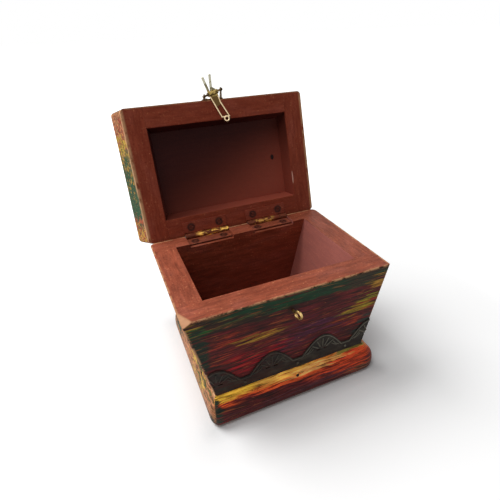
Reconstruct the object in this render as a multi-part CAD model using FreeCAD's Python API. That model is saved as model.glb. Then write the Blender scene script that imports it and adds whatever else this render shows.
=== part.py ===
import FreeCAD, Part
import math
import os

# A small painted wooden box on a bullnose plinth, with a hinged tray lid and a brass hasp.
# Millimetres. +X is the box's right, +Y its back, +Z up. The origin is on the underside, below the middle.
# The lid stands open and its hasp lies on the lid's rim: that is the rest pose.

V = FreeCAD.Vector
X_AXIS = V(1, 0, 0)
Y_AXIS = V(0, 1, 0)
Z_AXIS = V(0, 0, 1)

# Box boards
box_w = 154.0        # across the rim, side to side
box_d = 106.0        # across the rim, front to back
rim_z = 96.0         # the rim above the table
side_lean = 12.25    # degrees that each side board leans out from upright
front_t = 17.5       # front board
back_t = 14.5        # back board
side_t = 18.0        # side boards, square to their faces
edge_wear = 1.2      # rounding of the boards' outer edges
corner_wear = 4.5    # rounding of the rim's upright back corners
chip_w = 6.5         # broken front left corner of the rim: along the front
chip_d = 12.0        # and along the left side
chip_h = 3.0         # and down from the rim

# Floor and plinth
plinth_h = 25.0      # plinth height, which is also where the boards stand
plinth_out = 8.4     # how far the bullnose stands out from the front and back boards
left_out = 5.8       # and from the left board's foot
right_out = 11.6     # and from the right board's foot
nose_z = 8.0         # where the bullnose is widest
toe_r = 5.0          # rounding under the bullnose
plinth_under = 14.0  # how far the plinth reaches in under the boards
floor_fit = 0.1      # gap round the floor board, which fills the plinth from top to underside

# Lid
lid_h = 18.2         # rim to top
lid_flare = 6.8      # how much wider the top is than the rim, each side
panel_t = 6.2        # top panel
rail_side = 16.8     # side rails, across the rim
rail_front = 15.8    # front rail, across the rim
rail_back = 16.3     # back rail, across the rim
rail_slope = 16.0    # degrees that the rails' inner faces slope
lid_corner = 3.0     # rounding of the lid's four corners
open_angle = 107.5   # degrees that the lid stands open

# Hinges
hinge_len = 38.0     # leaf and barrel length
hinge_x = 28.3       # middle of each hinge from the middle of the box
barrel_r = 2.4       # outside of the barrel
pin_r = 1.2          # hinge pin
leaf_t = 1.3         # leaf thickness
leaf_w = 12.0        # leaf width from the pin
pin_behind = 0.1     # pin behind the back board's face
pin_below = 0.8      # pin below the rim
knuckles = 5         # in each barrel
knuckle_gap = 0.2    # between knuckles
run_fit = 0.05       # running clearance of a pin, on the radius
swing_gap = 0.4      # room round a barrel
screw_x = 12.4       # screws from the middle of the leaf
screw_edge = 4.6     # screws from the leaf's front edge
screw_head_r = 2.5
screw_r = 1.2
screw_len = 9.0
slot_w = 0.7
slot_deep = 0.6
slot_turn = 25.0     # degrees that the slots stand askew

# Nails
nail_r = 0.8
nail_head_r = 1.5
nail_head_t = 0.8
nail_len = 26.0      # through a board and into the next
lid_nail_len = 14.0  # through the lid's panel into a rail
nail_top = 15.5      # board nails below the rim
nail_foot = 9.0      # board nails above the plinth
floor_bite = 9.0     # plinth nails in the floor board
plinth_nail_low = 4.5 # plinth nails below the plinth's top
foot_bite = 13.0     # foot nails in the boards above
plinth_nail_x = 34.0 # outer plinth nails from the middle, front and back
plinth_mid_x = 1.6   # middle plinth nails
plinth_nail_y = 26.5 # plinth nails from the middle, left and right
foot_nail_x = 16.0   # foot nails from the middle, front and back
foot_nail_y = 14.0   # foot nails from the middle, left and right
foot_nail_in = 3.0   # foot nails out from the plinth's inner edge, at least
lid_nail_y = 42.0    # outer lid nails from the middle, left and right
lid_nail_x = 27.0    # lid nails from the middle, front and back

# Embossed strip along the foot of the front
strip_t = 0.6        # sheet thickness
strip_band = 9.4     # height between the arches
arch_h = 24.2        # height at an arch's top
arch_half = 17.2     # half of an arch's width
arch_pitch = 42.0    # arch to arch
arch_x = -17.9       # the arch nearest the middle
arch_steps = 20      # straight lengths in an arch's edge
ridge_r = 0.6        # raised line along the arches
ridge_in = 1.2       # and how far it lies below their edge
petals = 5           # raised petals of the fan in each arch
petal_r = 0.6
petal_in = 4.4       # petals from the fan's middle
petal_out = 11.0     # and to their tips
petal_low = 36.0     # degrees of the lowest petals above level
leaf_r = 0.55        # raised leaf lines beside the fan
leaf_far = 14.6      # leaf's outer end from the arch's middle
leaf_near = 9.2      # its inner end
leaf_rise = 5.2      # rise of its inner end above the band
leaf_lines = 2       # lines in each leaf
leaf_step = 1.9      # from line to line
slit_x = 2.9         # pierced slits under the fan, from the arch's middle
slit_w = 3.6
slit_h = 1.0
slit_up = 1.1        # slits' upper edge above the band's top
strip_side = 0.8     # strip short of the front's edges
tack_up = 4.4        # tacks above the plinth
tack_r = 1.2
tack_len = 6.0
tack_shank_r = 0.5

# Staple on the front
staple_x = -1.0      # middle of its ring
staple_drop = 14.6   # staple below the rim
staple_out = 6.0     # middle of its ring in front of the board
staple_ring_r = 2.6  # ring, to the middle of the wire
staple_wire_r = 1.0
staple_deep = 11.0   # shank in the board
staple_turn = 20.0   # degrees that the ring's back is turned to the left

# Hasp and its bracket on the lid's front rail
hasp_x = -2.9        # middle of the hasp's pin
hasp_out = 4.8       # pin in front of the lid
hasp_pin_r = 0.8
hasp_pin_half = 9.0  # half of the pin's length
pin_skew = 16.0      # degrees that the pin sits askew
hasp_skew = 7.0      # degrees that the strap is bent from square to the pin
sleeve_r = 1.8       # rolled end round the pin
sleeve_half = 4.6    # half of its length
strap_half = 3.4     # rolled edges from the strap's middle
strap_tip_half = 3.0
strap_len = 20.6     # pin to the middle of the crossbar
tip_slant = 1.1      # crossbar's right end further down, and its left end further up
waist_at = 8.5       # bend in the right edge, from the pin
waist_half = 2.0     # bend from the strap's middle
edge_r = 0.6         # rolled edges
web_t = 0.6          # sheet between them
web_len = 10.6       # sheet from the pin down to the slot
eye_r = 1.9          # eye at the tip, to the middle of its rim
eye_rim_r = 0.66     # rim's own radius
eye_lap = 0.25       # eye's rim set into the crossbar
prong_r = 1.0        # two prongs above the pin
prong_a = ((1.0, -2.6), (12.9, -1.9))
prong_b = ((1.0, -0.6), (12.2, 4.4))
prong_bend = 8.0     # degrees that the prongs are bent away from the lid
tab = ((0.6, -1.0), (4.6, 1.6), (0.6, 4.4))
ear_t = 1.0          # bracket sheet
ear_at = 7.6         # ears from the pin's middle
ear_round = 1.7      # ear's rounding round the pin
plate_half = 8.6     # half width of the bracket's plate
plate_low = 1.0      # plate above the lid's rim
plate_h = 4.5
bracket_nail_x = 5.0
bracket_nail_up = 2.3 # nails above the plate's lower edge
bracket_nail_len = 8.0
bracket_nail_r = 0.6
bracket_head_r = 1.1
bracket_head_t = 0.6

# Worked out from the sizes above
lean = math.tan(math.radians(side_lean))
half_w = box_w / 2
half_d = box_d / 2
foot_half_w = half_w - lean * (rim_z - plinth_h)
side_across = side_t / math.cos(math.radians(side_lean))
axis_y = half_d + pin_behind
axis_z = rim_z - pin_below
lid_z = axis_z + barrel_r            # the lid's rim when it is shut
lid_gap = lid_z - rim_z
rail_h = lid_h - panel_t
inner_step = math.tan(math.radians(rail_slope))
flare = lid_flare / lid_h
lid_top_z = lid_z + lid_h
hinge_axis = V(0, axis_y, axis_z)


def prism(points, along, length):
    """Extrudes a closed polygon."""
    ring = [V(*p) for p in points]
    return Part.Face(Part.makePolygon(ring + ring[:1])).extrude(along * length)


def prism_y(points, y0, y1):
    """A polygon of (x, z) points, from y0 to y1."""
    return prism([(x, y0, z) for x, z in points], Y_AXIS, y1 - y0)


def prism_x(points, x0, x1):
    """A polygon of (y, z) points, from x0 to x1."""
    return prism([(x0, y, z) for y, z in points], X_AXIS, x1 - x0)


def block(low, high):
    size = [b - a for a, b in zip(low, high)]
    return Part.makeBox(*size, V(*low))


def rod(start, end, radius):
    way = end - start
    return Part.makeCylinder(radius, way.Length, start, way)


def joined(shapes):
    first = shapes[0]
    rest = shapes[1:]
    return first.multiFuse(rest).removeSplitter() if rest else first


def cut_all(shape, tools):
    return shape.cut(tools) if tools else shape


def rounded(shape, radius, chosen):
    edges = [e for e in shape.Edges if chosen(e)]
    return shape.makeFillet(radius, edges)


def nail(head, way, length):
    """A nail whose head is flush at the point head, driven along way."""
    shank = Part.makeCylinder(nail_r, length, head, way)
    return shank.fuse(Part.makeCylinder(nail_head_r, nail_head_t, head, way)).removeSplitter()


def group(shapes):
    return Part.makeCompound(shapes)


def opened(shape):
    """Swings a piece of the shut lid to where the lid stands open."""
    copy = shape.copy()
    copy.rotate(hinge_axis, X_AXIS, -open_angle)
    return copy


def near(a, b):
    return abs(a - b) < 1e-4


def low_high(edge):
    box = edge.BoundBox
    return box.XMin, box.XMax, box.YMin, box.YMax, box.ZMin, box.ZMax


# Boards of the box
elevation = [(-half_w, rim_z), (half_w, rim_z), (foot_half_w, plinth_h), (-foot_half_w, plinth_h)]


def is_front_edge(edge):
    """The front board's outer edges, but not its foot."""
    x0, x1, y0, y1, z0, z1 = low_high(edge)
    on_face = near(y0, -half_d) and near(y1, -half_d)
    return on_face and z1 > plinth_h + 1e-4


def is_back_edge(edge):
    """The back board's slanting outer corners."""
    x0, x1, y0, y1, z0, z1 = low_high(edge)
    on_face = near(y0, half_d) and near(y1, half_d)
    return on_face and z1 - z0 > 1.0


front_board = rounded(prism_y(elevation, -half_d, -half_d + front_t), edge_wear, is_front_edge)


def corner_chip():
    """What is broken off the rim's front left corner: all that lies past a slanting plane."""
    along = V(-half_w + chip_w, -half_d, rim_z)
    side = V(-half_w, -half_d + chip_d, rim_z)
    down = V(-half_w + lean * chip_h, -half_d, rim_z - chip_h)
    outward = (side - along).cross(down - along).normalize()
    reach = chip_w + chip_d + chip_h
    break_face = Part.Plane(along, outward).toShape(-reach, reach, -reach, reach)
    return break_face.extrude(outward * reach)


front_board = front_board.cut(corner_chip())
back_board = rounded(prism_y(elevation, half_d - back_t, half_d), corner_wear, is_back_edge)


def side_board(sign):
    points = [
        (sign * half_w, rim_z),
        (sign * (half_w - side_across), rim_z),
        (sign * (foot_half_w - side_across), plinth_h),
        (sign * foot_half_w, plinth_h),
    ]
    return prism_y(points, -half_d + front_t, half_d - back_t)


left_board = side_board(-1)
right_board = side_board(1)

# Plinth: one bullnose ring, cut on the mitres into four lengths
nose_rise = plinth_h - nose_z
nose_arc_r = (nose_rise ** 2 + plinth_out ** 2) / (2 * plinth_out)
half_turn = math.asin(nose_rise / nose_arc_r) / 2


def nose_face():
    """The bullnose's section outside the boards, in X and Z, with its back on X = 0."""
    top = V(0, 0, plinth_h)
    wide = V(plinth_out, 0, nose_z)
    arc_mid = V(
        plinth_out - nose_arc_r + nose_arc_r * math.cos(half_turn),
        0,
        nose_z + nose_arc_r * math.sin(half_turn),
    )
    knee = V(plinth_out, 0, toe_r)
    toe_mid = V(
        plinth_out - toe_r + toe_r * math.cos(math.pi / 4),
        0,
        toe_r - toe_r * math.sin(math.pi / 4),
    )
    toe = V(plinth_out - toe_r, 0, 0)
    edges = [
        Part.Arc(top, arc_mid, wide).toShape(),
        Part.makeLine(wide, knee),
        Part.Arc(knee, toe_mid, toe).toShape(),
        Part.makeLine(toe, V(0, 0, 0)),
        Part.makeLine(V(0, 0, 0), top),
    ]
    return Part.Face(Part.Wire(edges))


def nose_run(turn, corner, length):
    """One straight run of the bullnose: the section turned about Z and set at a corner."""
    face = nose_face()
    face.rotate(V(0, 0, 0), Z_AXIS, turn)
    face.translate(corner)
    way = V(-math.sin(math.radians(turn)), math.cos(math.radians(turn)), 0)
    return face.extrude(way * length)


def nose_corner(turn, corner):
    face = nose_face()
    face.rotate(V(0, 0, 0), Z_AXIS, turn)
    face.translate(corner)
    return face.revolve(corner, Z_AXIS, 90)


def overhang(x):
    """How far the bullnose stands out on the left or the right."""
    return right_out if x > 0 else left_out


def to_side(shape, corner):
    """Stretches a length of the bullnose across, from the front's overhang to that of the side."""
    stretch = FreeCAD.Matrix()
    stretch.move(corner * -1)
    stretch.scale(overhang(corner.x) / plinth_out, 1, 1)
    stretch.move(corner)
    return shape.transformGeometry(stretch)


plan = [
    (V(foot_half_w, -half_d, 0), 0, box_d),
    (V(foot_half_w, half_d, 0), 90, 2 * foot_half_w),
    (V(-foot_half_w, half_d, 0), 180, box_d),
    (V(-foot_half_w, -half_d, 0), 270, 2 * foot_half_w),
]
inner_half_w = foot_half_w - plinth_under
inner_half_d = half_d - plinth_under
frame_block = block((-foot_half_w, -half_d, 0), (foot_half_w, half_d, plinth_h))
frame_hole = block((-inner_half_w, -inner_half_d, -1), (inner_half_w, inner_half_d, plinth_h + 1))
ring_parts = [frame_block.cut(frame_hole)]
for corner, turn, run in plan:
    straight = nose_run(turn, corner, run)
    on_side = turn % 180 == 0
    ring_parts.append(to_side(straight, corner) if on_side else straight)
    ring_parts.append(to_side(nose_corner(turn - 90, corner), corner))
plinth_ring = joined(ring_parts)


def mitred(sign, front):
    """The length of the plinth on one side, between two mitres."""
    out = 2 * max(plinth_out, left_out, right_out)
    under = plinth_under + 1
    w_out, d_out = foot_half_w + out, half_d + out
    w_in, d_in = foot_half_w - under, half_d - under
    if front:
        ring = [(-w_out, sign * d_out), (w_out, sign * d_out), (w_in, sign * d_in), (-w_in, sign * d_in)]
    else:
        ring = [(sign * w_out, -d_out), (sign * w_out, d_out), (sign * w_in, d_in), (sign * w_in, -d_in)]
    wedge = prism([(x, y, -1) for x, y in ring], Z_AXIS, plinth_h + 2)
    return plinth_ring.common(wedge)


plinth_front = mitred(-1, True)
plinth_back = mitred(1, True)
plinth_left = mitred(-1, False)
plinth_right = mitred(1, False)

floor_half_w = inner_half_w - floor_fit
floor_half_d = inner_half_d - floor_fit
floor_board = block((-floor_half_w, -floor_half_d, 0), (floor_half_w, floor_half_d, plinth_h))

# Nails of the box: boards to sides, plinth to floor, boards down to the plinth
mid_side = side_across / 2


def board_x(z):
    """Middle of a side board at height z."""
    return half_w - lean * (rim_z - z) - mid_side


nail_heights = (rim_z - nail_top, (rim_z + plinth_h) / 2, plinth_h + nail_foot)
board_nails = []
for z in nail_heights:
    for sign in (-1, 1):
        board_nails.append(nail(V(sign * board_x(z), -half_d, z), Y_AXIS, nail_len))
        board_nails.append(nail(V(sign * board_x(z), half_d, z), Y_AXIS * -1, nail_len))

plinth_nail_z = plinth_h - plinth_nail_low
nose_at_nail = plinth_out - nose_arc_r + math.sqrt(nose_arc_r ** 2 - (plinth_nail_z - nose_z) ** 2)
nail_in = plinth_under + floor_bite
plinth_nails = []
for x in (-plinth_nail_x, plinth_mid_x, plinth_nail_x):
    for sign in (-1, 1):
        head = V(x, sign * (half_d + nose_at_nail), plinth_nail_z)
        plinth_nails.append(nail(head, Y_AXIS * -sign, nose_at_nail + nail_in))
for y in (-plinth_nail_y, plinth_nail_y):
    for sign in (-1, 1):
        nose = nose_at_nail * overhang(sign) / plinth_out
        head = V(sign * (foot_half_w + nose), y, plinth_nail_z)
        plinth_nails.append(nail(head, X_AXIS * -sign, nose + nail_in))

foot_nail_len = plinth_h + foot_bite
foot_nails = []
for x in (-foot_nail_x, foot_nail_x):
    for sign, board_t in ((-1, front_t), (1, back_t)):
        y = max(half_d - board_t / 2, inner_half_d + foot_nail_in)
        foot_nails.append(nail(V(x, sign * y, 0), Z_AXIS, foot_nail_len))
for y in (-foot_nail_y, foot_nail_y):
    for sign in (-1, 1):
        foot_nails.append(nail(V(sign * (inner_half_w + foot_nail_in), y, 0), Z_AXIS, foot_nail_len))

# Embossed strip with arches, its tacks and the staple
strip_y = -half_d
strip_low = plinth_h


def front_half(z):
    """Half of the front's width at height z."""
    return half_w - lean * (rim_z - z)


def arch_edge(middle, lower):
    """Points along one arch's top edge, from valley middle to valley middle, set lower by a given amount."""
    points = [(middle - arch_pitch / 2, band_z - lower)]
    for i in range(arch_steps + 1):
        share = 2 * i / arch_steps - 1
        rise = (arch_h - strip_band) * math.cos(math.pi / 2 * share)
        points.append((middle + arch_half * share, band_z + rise - lower))
    points.append((middle + arch_pitch / 2, band_z - lower))
    return points


def arch_middles():
    reach = front_half(strip_low + arch_h) + arch_pitch / 2
    count = int(reach // arch_pitch) + 1
    return [arch_x + arch_pitch * i for i in range(-count, count + 1) if abs(arch_x + arch_pitch * i) < reach]


def raised(points, radius):
    """A raised line through points on the strip's face."""
    line = []
    for (x0, z0), (x1, z1) in zip(points[:-1], points[1:]):
        line.append(rod(V(x0, relief_y, z0), V(x1, relief_y, z1), radius))
    return line + [Part.makeSphere(radius, V(x, relief_y, z)) for x, z in points]


band_z = strip_low + strip_band
relief_y = strip_y - strip_t
sheet = []
relief = []
slits = []
for middle in arch_middles():
    foot = [(middle + arch_pitch / 2, strip_low), (middle - arch_pitch / 2, strip_low)]
    sheet.append(prism_y(arch_edge(middle, 0) + foot, relief_y, strip_y))
    relief += raised(arch_edge(middle, ridge_in), ridge_r)
    for i in range(petals):
        turn = math.radians(petal_low + (180 - 2 * petal_low) * i / (petals - 1))
        ends = [(middle + r * math.cos(turn), band_z + r * math.sin(turn)) for r in (petal_in, petal_out)]
        relief += raised(ends, petal_r)
    for sign in (-1, 1):
        for i in range(leaf_lines):
            far = leaf_far - i * leaf_step
            near_end = leaf_near - i * leaf_step / 2
            bend = (middle + sign * (far + near_end) / 2, band_z + leaf_rise / 4)
            inner = (middle + sign * near_end, band_z + leaf_rise - i * leaf_step)
            relief += raised([(middle + sign * far, band_z), bend, inner], leaf_r)
        x = middle + sign * slit_x
        z = band_z + slit_up
        slits.append(block((x - slit_w / 2, relief_y - 1, z - slit_h), (x + slit_w / 2, strip_y + 1, z)))
window_top = strip_low + arch_h + ridge_r
window = [
    (-front_half(strip_low) + strip_side, strip_low),
    (front_half(strip_low) - strip_side, strip_low),
    (front_half(window_top) - strip_side, window_top),
    (-front_half(window_top) + strip_side, window_top),
]
trim_strip = joined(sheet + relief).common(prism_y(window, strip_y - strip_t - 2 * ridge_r, strip_y))
trim_strip = trim_strip.cut(slits)

tack_reach = front_half(strip_low) - strip_side - 2 * tack_r
tack_xs = [m + arch_pitch / 2 for m in arch_middles() if abs(m + arch_pitch / 2) < tack_reach]
tack_z = strip_low + tack_up
trim_tacks = []
for x in tack_xs:
    face_y = relief_y
    dome = Part.makeSphere(tack_r, V(x, face_y, tack_z))
    low, high = (x - tack_r, face_y - tack_r, tack_z - tack_r), (x + tack_r, face_y, tack_z + tack_r)
    dome = dome.common(block(low, high))
    shank = rod(V(x, face_y, tack_z), V(x, face_y + tack_len, tack_z), tack_shank_r)
    trim_tacks.append(dome.fuse(shank).removeSplitter())
tack_holes = [rod(V(x, relief_y - 3 * tack_r, tack_z), V(x, relief_y, tack_z), tack_r) for x in tack_xs]
tack_holes += [rod(V(x, relief_y, tack_z), V(x, relief_y + tack_len, tack_z), tack_shank_r) for x in tack_xs]

staple_z = rim_z - staple_drop
ring_mid = V(staple_x, -half_d - staple_out, staple_z)
ring_turn = math.radians(staple_turn)
ring_axis = V(math.cos(ring_turn), math.sin(ring_turn), 0)
ring_back = V(-math.sin(ring_turn), math.cos(ring_turn), 0)
shank_start = ring_mid + ring_back * staple_ring_r
shank_end = V(shank_start.x, -half_d + staple_deep, staple_z)
latch_staple = joined([
    Part.makeTorus(staple_ring_r, staple_wire_r, ring_mid, ring_axis),
    rod(shank_start, shank_end, staple_wire_r),
])
staple_hole = rod(V(shank_start.x, -half_d, staple_z), shank_end, staple_wire_r)

# Hinges. Leaf 0 is on the box and leaf 1 on the lid, both drawn as they lie with the lid shut.
knuckle_len = (hinge_len - (knuckles - 1) * knuckle_gap) / knuckles


def knuckle_start(middle, i):
    return middle - hinge_len / 2 + i * (knuckle_len + knuckle_gap)


def screw(middle_x, y, z, way):
    """A countersunk screw whose head is flush at z, driven along way, with its slot."""
    head = V(middle_x, y, z)
    deep = screw_head_r - screw_r
    cone = Part.makeCone(screw_head_r, screw_r, deep, head, way)
    body = Part.makeCylinder(screw_r, screw_len, head, way)
    return cone.fuse(body).removeSplitter()


def slot(middle_x, y, z):
    reach = 2 * screw_head_r
    across = block((-reach, -slot_w / 2, -slot_deep), (reach, slot_w / 2, slot_deep))
    across.rotate(V(0, 0, 0), Z_AXIS, math.copysign(slot_turn, middle_x))
    across.translate(V(middle_x, y, z))
    return across


def leaf(middle, on_lid):
    side = 1 if on_lid else -1
    own = [i for i in range(knuckles) if (i % 2 == 1) == on_lid]
    z_out = axis_z + side * barrel_r
    z_in = axis_z + side * (barrel_r - leaf_t)
    z0, z1 = min(z_out, z_in), max(z_out, z_in)
    y_front = axis_y - leaf_w
    y_back = axis_y - barrel_r - swing_gap
    parts = [block((middle - hinge_len / 2, y_front, z0), (middle + hinge_len / 2, y_back, z1))]
    for i in own:
        x0 = knuckle_start(middle, i)
        parts.append(block((x0, y_front, z0), (x0 + knuckle_len, axis_y, z1)))
        parts.append(rod(V(x0, axis_y, axis_z), V(x0 + knuckle_len, axis_y, axis_z), barrel_r))
    bore = pin_r + (run_fit if on_lid else 0)
    hole = rod(V(middle - hinge_len, axis_y, axis_z), V(middle + hinge_len, axis_y, axis_z), bore)
    return joined(parts).cut(hole)


def leaf_screws(middle, on_lid):
    """Screws of a leaf: the head lies in the leaf's open face and the shank goes into the wood behind it."""
    z_face = axis_z + (1 if on_lid else -1) * (barrel_r - leaf_t)
    way = Z_AXIS if on_lid else Z_AXIS * -1
    y = axis_y - leaf_w + screw_edge
    whole = [screw(middle + dx, y, z_face, way) for dx in (-screw_x, screw_x)]
    slots = [slot(middle + dx, y, z_face) for dx in (-screw_x, screw_x)]
    return whole, [s.cut(t) for s, t in zip(whole, slots)]


box_leaves, lid_leaves, pins = {}, {}, {}
box_screw_room, lid_screw_room, box_screws, lid_screws = [], [], [], []
for name, middle in (("left", -hinge_x), ("right", hinge_x)):
    room, screws = leaf_screws(middle, False)
    box_leaves[name] = leaf(middle, False).cut(room)
    box_screw_room += room
    box_screws += screws
    room, screws = leaf_screws(middle, True)
    lid_leaves[name] = leaf(middle, True).cut(room)
    lid_screw_room += room
    lid_screws += screws
    ends = hinge_len / 2
    pins[name] = rod(V(middle - ends, axis_y, axis_z), V(middle + ends, axis_y, axis_z), pin_r)


def barrel_room(middle):
    half = hinge_len / 2 + swing_gap
    return rod(V(middle - half, axis_y, axis_z), V(middle + half, axis_y, axis_z), barrel_r + swing_gap)


mortises = []
for middle in (-hinge_x, hinge_x):
    half = hinge_len / 2
    low = (middle - half, half_d - 2 * back_t, axis_z - barrel_r)
    mortises.append(block(low, (middle + half, half_d + back_t, rim_z + back_t)))
    mortises.append(barrel_room(middle))

# Holes that the fastenings fill
front_board = cut_all(front_board, board_nails + foot_nails + tack_holes + [staple_hole])
back_board = cut_all(back_board, mortises + board_nails + foot_nails + box_screw_room)
left_board = cut_all(left_board, board_nails + foot_nails)
right_board = cut_all(right_board, board_nails + foot_nails)
floor_board = cut_all(floor_board, plinth_nails)
plinth_front = cut_all(plinth_front, plinth_nails + foot_nails)
plinth_back = cut_all(plinth_back, plinth_nails + foot_nails)
plinth_left = cut_all(plinth_left, plinth_nails + foot_nails)
plinth_right = cut_all(plinth_right, plinth_nails + foot_nails)
trim_strip = cut_all(trim_strip, tack_holes)

# Lid, drawn shut: rails round a sloping recess, and a panel on top
rail_top_z = lid_z + rail_h
recess_half_w = half_w - rail_side
recess_front = -half_d + rail_front
recess_back = half_d - rail_back
step_in = inner_step * rail_h


def lid_half(z):
    return half_w + flare * (z - lid_z)


def is_lid_corner(edge):
    """The lid's outer corners, which rise from front or back face to the flared sides."""
    x0, x1, y0, y1, z0, z1 = low_high(edge)
    upright = z1 - z0 > panel_t / 2
    at_end = near(y0, y1) and near(abs(y0), half_d)
    return upright and at_end and min(abs(x0), abs(x1)) > half_w - lid_corner


side_rails = {}
for name, sign in (("left", -1), ("right", 1)):
    section = [
        (sign * half_w, lid_z),
        (sign * recess_half_w, lid_z),
        (sign * (recess_half_w - step_in), rail_top_z),
        (sign * lid_half(rail_top_z), rail_top_z),
    ]
    side_rails[name] = rounded(prism_y(section, -half_d, half_d), lid_corner, is_lid_corner)

between = [
    (-recess_half_w, lid_z),
    (recess_half_w, lid_z),
    (recess_half_w - step_in, rail_top_z),
    (-recess_half_w + step_in, rail_top_z),
]
front_section = [
    (-half_d, lid_z),
    (recess_front, lid_z),
    (recess_front + step_in, rail_top_z),
    (-half_d, rail_top_z),
]
back_section = [
    (half_d, lid_z),
    (recess_back, lid_z),
    (recess_back - step_in, rail_top_z),
    (half_d, rail_top_z),
]
length_room = prism_y(between, -half_d, half_d)
lid_front_rail = prism_x(front_section, -half_w, half_w).common(length_room)
lid_back_rail = prism_x(back_section, -half_w, half_w).common(length_room)
panel_section = [
    (-lid_half(rail_top_z), rail_top_z),
    (lid_half(rail_top_z), rail_top_z),
    (lid_half(lid_top_z), lid_top_z),
    (-lid_half(lid_top_z), lid_top_z),
]


def is_panel_edge(edge):
    x0, x1, y0, y1, z0, z1 = low_high(edge)
    return near(z0, lid_top_z) and near(z1, lid_top_z)


lid_panel = rounded(prism_y(panel_section, -half_d, half_d), lid_corner, is_lid_corner)
lid_panel = rounded(lid_panel, edge_wear, is_panel_edge)

lid_nails = []
rail_mid_x = half_w - rail_side / 2
for y in (-lid_nail_y, 0, lid_nail_y):
    for sign in (-1, 1):
        lid_nails.append(nail(V(sign * rail_mid_x, y, lid_top_z), Z_AXIS * -1, lid_nail_len))
for x in (-lid_nail_x, lid_nail_x):
    for y in (-half_d + rail_front / 2, half_d - rail_back / 2):
        lid_nails.append(nail(V(x, y, lid_top_z), Z_AXIS * -1, lid_nail_len))

# Hasp and bracket, drawn on the shut lid with the hasp folded flat in the gap under the rail
hasp_z = lid_z - lid_gap / 2
hasp_mid = V(hasp_x, -half_d - hasp_out, hasp_z)
pin_turn = math.radians(pin_skew)
strap_turn = math.radians(pin_skew + hasp_skew)
pin_way = V(math.cos(pin_turn), -math.sin(pin_turn), 0)
strap_way = V(math.sin(strap_turn), math.cos(strap_turn), 0)
strap_side = V(math.cos(strap_turn), -math.sin(strap_turn), 0)


def on_strap(along, side):
    """A point in the strap's plane: along from the pin to the tip, side to the right."""
    return hasp_mid + strap_way * along + strap_side * side


def above_pin(point):
    return on_strap(-point[0], point[1])


hasp_bore = rod(hasp_mid - pin_way * box_w, hasp_mid + pin_way * box_w, hasp_pin_r + run_fit)
tip_left = on_strap(strap_len - tip_slant, -strap_tip_half)
tip_right = on_strap(strap_len + tip_slant, strap_tip_half)
waist = on_strap(waist_at, waist_half)
hasp_parts = [
    rod(hasp_mid - pin_way * sleeve_half, hasp_mid + pin_way * sleeve_half, sleeve_r),
    rod(on_strap(0, -strap_half), tip_left, edge_r),
    rod(on_strap(0, strap_half), waist, edge_r),
    rod(waist, tip_right, edge_r),
    rod(tip_left, tip_right, edge_r),
    Part.makeSphere(edge_r, tip_left),
    Part.makeSphere(edge_r, tip_right),
    Part.makeSphere(edge_r, waist),
    Part.makeTorus(eye_r, eye_rim_r, on_strap(strap_len + eye_r - eye_lap, 0), Z_AXIS),
]
web_ring = [on_strap(0, -strap_half), on_strap(web_len, -strap_half), on_strap(web_len, waist_half), waist,
            on_strap(0, strap_half)]
web_ring = [p - Z_AXIS * (web_t / 2) for p in web_ring]
hasp_parts.append(prism([tuple(p) for p in web_ring], Z_AXIS, web_t))
prong_fall = math.tan(math.radians(prong_bend))
for start, end in (prong_a, prong_b):
    prong_end = above_pin(end) - Z_AXIS * (end[0] * prong_fall)
    hasp_parts.append(rod(above_pin(start), prong_end, prong_r))
    hasp_parts.append(Part.makeSphere(prong_r, prong_end))
tab_ring = [above_pin(p) - Z_AXIS * (web_t / 2) for p in tab]
hasp_parts.append(prism([tuple(p) for p in tab_ring], Z_AXIS, web_t))
hasp = joined(hasp_parts).cut(hasp_bore)

hasp_pin = rod(hasp_mid - pin_way * hasp_pin_half, hasp_mid + pin_way * hasp_pin_half, hasp_pin_r)
lid_front_y = -half_d
plate_z = lid_z + plate_low
bracket_parts = [block((hasp_x - plate_half, lid_front_y - ear_t, plate_z),
                       (hasp_x + plate_half, lid_front_y, plate_z + plate_h))]
for sign in (-1, 1):
    at = hasp_mid + pin_way * (sign * ear_at)
    x0, x1 = at.x - ear_t / 2, at.x + ear_t / 2
    ear_end = Part.makeCylinder(ear_round, ear_t, V(x0, at.y, at.z), X_AXIS)
    arm = prism_x(
        [
            (lid_front_y, plate_z),
            (lid_front_y, plate_z + plate_h),
            (at.y - ear_round, at.z),
            (at.y + ear_round, at.z),
        ],
        x0,
        x1,
    )
    bracket_parts += [ear_end, arm]
hasp_bracket = joined(bracket_parts).cut(hasp_pin)

bracket_nails = []
bracket_nail_room = []
bracket_nail_z = plate_z + bracket_nail_up
for sign in (-1, 1):
    start = V(hasp_x + sign * bracket_nail_x, lid_front_y - ear_t, bracket_nail_z)
    head = Part.makeCylinder(bracket_head_r, bracket_head_t, start, Y_AXIS * -1)
    shank = Part.makeCylinder(bracket_nail_r, bracket_nail_len, start, Y_AXIS)
    bracket_nails.append(head.fuse(shank).removeSplitter())
    bracket_nail_room.append(shank)
hasp_bracket = cut_all(hasp_bracket, bracket_nail_room)

barrel_rooms = [barrel_room(-hinge_x), barrel_room(hinge_x)]
lid_back_rail = cut_all(lid_back_rail, lid_nails + lid_screw_room + barrel_rooms)
lid_front_rail = cut_all(lid_front_rail, lid_nails + bracket_nail_room)
lid_left_rail = cut_all(side_rails["left"], lid_nails)
lid_right_rail = cut_all(side_rails["right"], lid_nails)
lid_panel = cut_all(lid_panel, lid_nails)

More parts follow.
